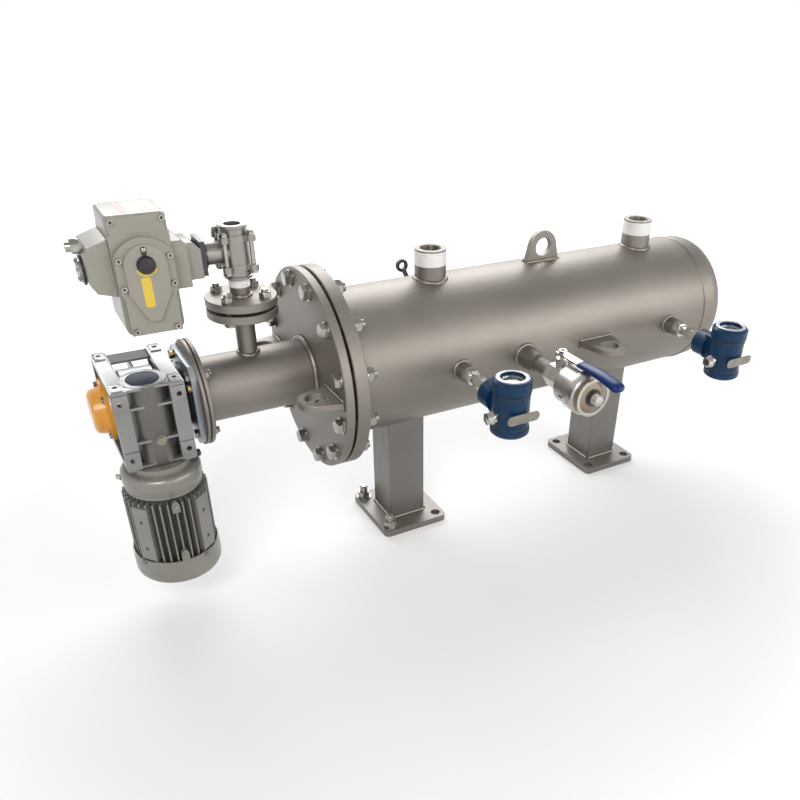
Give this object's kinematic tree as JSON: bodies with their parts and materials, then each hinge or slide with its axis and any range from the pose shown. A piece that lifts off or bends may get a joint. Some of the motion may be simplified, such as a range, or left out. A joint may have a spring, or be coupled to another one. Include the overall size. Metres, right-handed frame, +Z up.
{
  "type": "self cleaning filter",
  "caption": "Horizontal self cleaning water filter on two feet, with a worm gear motor that turns its suction scanner, a motorised flush valve, and two pressure transmitters.",
  "frame": {"origin": "on the floor, under the centre of the drive end foot", "axes": "+X along the vessel from the drive end foot to the far end foot, +Z up, -Y towards the transmitters and the side valve"},
  "size_m": [1.3515, 0.6255, 0.69],
  "materials": {
    "vessel_steel": "satin",
    "fastener_steel": "bright",
    "cast_steel": "satin",
    "bright_steel": "bright",
    "inner_steel": "satin",
    "dark_steel": "satin",
    "black_rubber": "matt",
    "white_tape": "matt",
    "seat_plastic": "matt",
    "black_plastic": "matt",
    "actuator_grey": "satin",
    "gear_grey": "satin",
    "motor_grey": "satin",
    "orange_plastic": "gloss",
    "bronze": "satin",
    "blue_paint": "gloss",
    "blue_grip": "satin",
    "clear_window": "clear"
  },
  "bodies": {
    "vessel": {"actuator_end_cover": "actuator_grey", "actuator_fittings": "black_plastic", "actuator_gear_case": "actuator_grey", "actuator_housing": "actuator_grey", "actuator_side_cover": "actuator_grey", "actuator_top_cover": "actuator_grey", "anchor_bolts": "fastener_steel", "bearings": "bronze", "body_flange": "vessel_steel", "branch_pipe": "vessel_steel", "cover_flange": "vessel_steel", "dished_head": "vessel_steel", "drain_body": "cast_steel", "drain_caps": "cast_steel", "drain_seats": "seat_plastic", "drain_tie_bolts": "fastener_steel", "drive_flange": "vessel_steel", "fan_cover": "motor_grey", "filter_screen": "inner_steel", "flange_bolts": "fastener_steel", "flange_nuts": "fastener_steel", "flush_tube": "vessel_steel", "foot_plates": "vessel_steel", "foot_posts": "vessel_steel", "gaskets": "black_rubber", "inlet_nozzle": "vessel_steel", "lifting_lugs": "vessel_steel", "motor_end_bell": "motor_grey", "motor_frame": "motor_grey", "mounting_plate": "dark_steel", "outlet_nozzle": "vessel_steel", "output_cover": "orange_plastic", "output_flange": "dark_steel", "position_window": "clear_window", "reducer_housing": "gear_grey", "reducer_plugs": "black_plastic", "sample_barrel": "bright_steel", "sample_body": "bright_steel", "sample_coupling": "vessel_steel", "screen_plates": "inner_steel", "seal_carrier": "vessel_steel", "shell": "vessel_steel", "terminal_box": "motor_grey", "thread_wraps": "white_tape", "transmitter_caps": "blue_paint", "transmitter_fittings": "bright_steel", "transmitter_housings": "blue_paint", "transmitter_windows": "clear_window", "valve_nipple": "vessel_steel"},
    "scanner": {"worm_wheel": "bronze", "drive_shaft": "bright_steel", "suction_scanner": "inner_steel"},
    "motor_rotor": {"motor_shaft": "bright_steel", "cooling_fan": "black_plastic", "worm": "bright_steel"},
    "drain_valve": {"drain_ball": "bright_steel", "drain_stem": "bright_steel"},
    "side_lever": {"sample_stem": "bright_steel", "sample_lever": "bright_steel", "lever_grip": "blue_grip"}
  },
  "joints": [
    {"name": "scanner_spin", "type": "hinge", "parent": "vessel", "child": "scanner", "pos_m": [-0.481, 0, 0.375], "axis": [1, 0, 0], "continuous": true},
    {"name": "motor_spin", "type": "hinge", "parent": "vessel", "child": "motor_rotor", "pos_m": [-0.481, -0.063, 0.375], "axis": [0, 0, 1], "continuous": true},
    {"name": "drain_valve_turn", "type": "hinge", "parent": "vessel", "child": "drain_valve", "pos_m": [-0.29, 0, 0.607], "axis": [1, 0, 0], "range_deg": [0, 90]},
    {"name": "side_lever_turn", "type": "hinge", "parent": "vessel", "child": "side_lever", "pos_m": [0.215, -0.248, 0.375], "axis": [0, 0, 1], "range_deg": [0, 90]}
  ],
  "couplings": [
    {"joint": "motor_spin", "follows": "scanner_spin", "ratio": 40}
  ]
}
